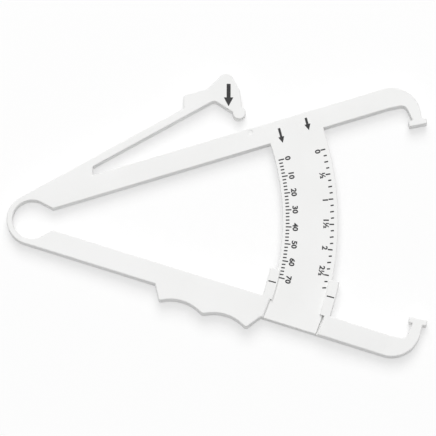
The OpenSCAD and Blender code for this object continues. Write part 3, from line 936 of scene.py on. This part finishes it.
def label(text, radius, angle, height=DIGIT_HEIGHT, squeeze=1.1):
    """Mesh of a printed number that reads down the plate."""
    curve_data = bpy.data.curves.new("label", "FONT")
    curve_data.body = text
    curve_data.align_x = "CENTER"
    curve_data.align_y = "CENTER"
    curve_data.size = height / 0.73       # a digit is 0.73 of the letter size high
    curve_data.offset = 0.1               # makes the strokes bolder
    curve_data.extrude = INK / 2
    curve_data.resolution_u = 3
    holder = bpy.data.objects.new("label", curve_data)
    bpy.context.scene.collection.objects.link(holder)
    data = bpy.data.meshes.new_from_object(holder.evaluated_get(bpy.context.evaluated_depsgraph_get()))
    x, y = polar(radius, angle)
    data.transform(
        Matrix.Translation((x, y, BODY_TOP + INK / 2)) @ Matrix.Rotation(math.radians(angle - 90), 4, "Z")
        @ Matrix.Diagonal((squeeze, 1, 1, 1)))
    bpy.data.objects.remove(holder)
    bpy.data.curves.remove(curve_data)
    return data


def numbers(name, labels):
    """The printed numbers of one scale, as one piece."""
    mesh = bmesh.new()
    for given in labels:
        data = label(*given)
        mesh.from_mesh(data)
        bpy.data.meshes.remove(data)
    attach(piece(name, mesh, printed_ink), "upper")


def arrow(name, body, tip, heading, length, head_width, head_length, shaft_width):
    """A printed arrow with softened corners, drawn from its tip backwards."""
    h, w = head_width / 2, shaft_width / 2
    path = [(0, 0), (-head_length, h), (-head_length, w), (-length, w), (-length, -w), (-head_length, -w),
            (-head_length, -h)]
    placed = []
    for x, y in path:
        dx, dy = on_ray(heading, x, y)
        placed.append(corner((tip[0] + dx, tip[1] + dy), ARROW_ROUNDING))
    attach(piece(name, slab(placed, BODY_TOP, BODY_TOP + INK, 0, 0), printed_ink), body)


numbers("mm_numbers", [(str(v), MM_DIGITS_AT, mark_angle(v)) for v in range(0, 71, 10)])
# Each number of the inch scale stands a small angle off its half-inch mark.
numbers("inch_numbers", [
    (text, INCH_DIGITS_AT, mark_angle(INCH * k / 2) + nudge)
    for k, (text, nudge) in enumerate((
        ("0", -0.12), ("½", -0.12), ("1", -0.1), ("1½", 0.15), ("2", 0.25), ("2½", 0.6)))])

# Plain arrows: which way to press the lever, and which way to read each scale.
SCALE_ARROW = {"heading": -75.0, "head_width": 2.3, "head_length": 2.4, "shaft_width": 0.9}
arrow("press_arrow", "lever", (73.42, 43.6), heading=-90.0, length=8.6, head_width=3.6, head_length=3.4,
      shaft_width=1.5)
arrow("mm_scale_arrow", "upper", (93.9, 29.7), length=5.8, **SCALE_ARROW)
arrow("inch_scale_arrow", "upper", (103.7, 34.6), length=4.9, **SCALE_ARROW)


# ---- Floor and light

FLOOR_TONE = 0.80         # what the floor gives back to the object
FLOOR_SEEN_TONE = 0.50    # what the camera sees, so that the shadow stays faint
FLOOR_LIFT = 0.515        # and the glow that makes it white there
FLOOR_HALF_SIZE = 3.0
FLOOR_DROP = 0.0001       # under the caliper's back
MIDDLE_X = 0.07           # middle of the caliper, for the floor and the lamps
SKY = 0.35


def floor_material():
    """Pale floor that keeps the object's shadow and shows white behind the object."""
    material = bpy.data.materials.new("studio_floor")
    material.use_nodes = True
    tree = material.node_tree
    shader = tree.nodes["Principled BSDF"]
    shader.inputs["Roughness"].default_value = 0.9
    shader.inputs["Specular IOR Level"].default_value = 0.0
    rays = node(tree, "ShaderNodeLightPath", (-700, 300))
    seen = node(tree, "ShaderNodeMath", (-500, 300), operation="MAXIMUM")
    seen_through = node(tree, "ShaderNodeMath", (-300, 300), operation="MAXIMUM")
    lift = node(tree, "ShaderNodeMath", (-100, 300), operation="MULTIPLY")
    lift.inputs[1].default_value = FLOOR_LIFT
    tone = node(tree, "ShaderNodeMix", (-100, 100), data_type="RGBA")
    tone.inputs["A"].default_value = (FLOOR_TONE, FLOOR_TONE, FLOOR_TONE, 1)
    tone.inputs["B"].default_value = (FLOOR_SEEN_TONE, FLOOR_SEEN_TONE, FLOOR_SEEN_TONE, 1)
    link = tree.links.new
    link(rays.outputs["Is Camera Ray"], seen.inputs[0])
    link(rays.outputs["Is Glossy Ray"], seen.inputs[1])
    link(seen.outputs[0], seen_through.inputs[0])
    link(rays.outputs["Is Transmission Ray"], seen_through.inputs[1])
    link(seen_through.outputs[0], lift.inputs[0])
    link(lift.outputs[0], shader.inputs["Emission Strength"])
    link(seen_through.outputs[0], tone.inputs["Factor"])
    link(tone.outputs["Result"], shader.inputs["Base Color"])
    shader.inputs["Emission Color"].default_value = (1, 1, 1, 1)
    return material


floor_mesh = bmesh.new()
bmesh.ops.create_grid(floor_mesh, x_segments=1, y_segments=1, size=FLOOR_HALF_SIZE)
floor_data = bpy.data.meshes.new("studio_floor")
floor_mesh.to_mesh(floor_data)
floor_mesh.free()
floor_data.materials.append(floor_material())
floor = bpy.data.objects.new("studio_floor", floor_data)
floor.location = (MIDDLE_X, 0, -FLOOR_DROP)
bpy.context.scene.collection.objects.link(floor)

world = bpy.data.worlds.new("studio_world")
world.use_nodes = True
sky = world.node_tree.nodes["Background"].inputs
sky["Color"].default_value = (1, 1, 1, 1)
sky["Strength"].default_value = SKY
bpy.context.scene.world = world


def soft_light(name, place, size, power):
    """A square soft box that faces the middle of the caliper."""
    data = bpy.data.lights.new(name, "AREA")
    data.size = size
    data.energy = power
    light = bpy.data.objects.new(name, data)
    light.location = place
    light.rotation_euler = (TARGET - Vector(place)).to_track_quat("-Z", "Y").to_euler()
    bpy.context.scene.collection.objects.link(light)


soft_light("upper_soft_box", (MIDDLE_X, 3.0, 4.1), 3.2, 130.0)
soft_light("top_soft_box", (MIDDLE_X, 0.3, 6.0), 4.5, 93.0)

bpy.context.scene.view_settings.view_transform = "Standard"
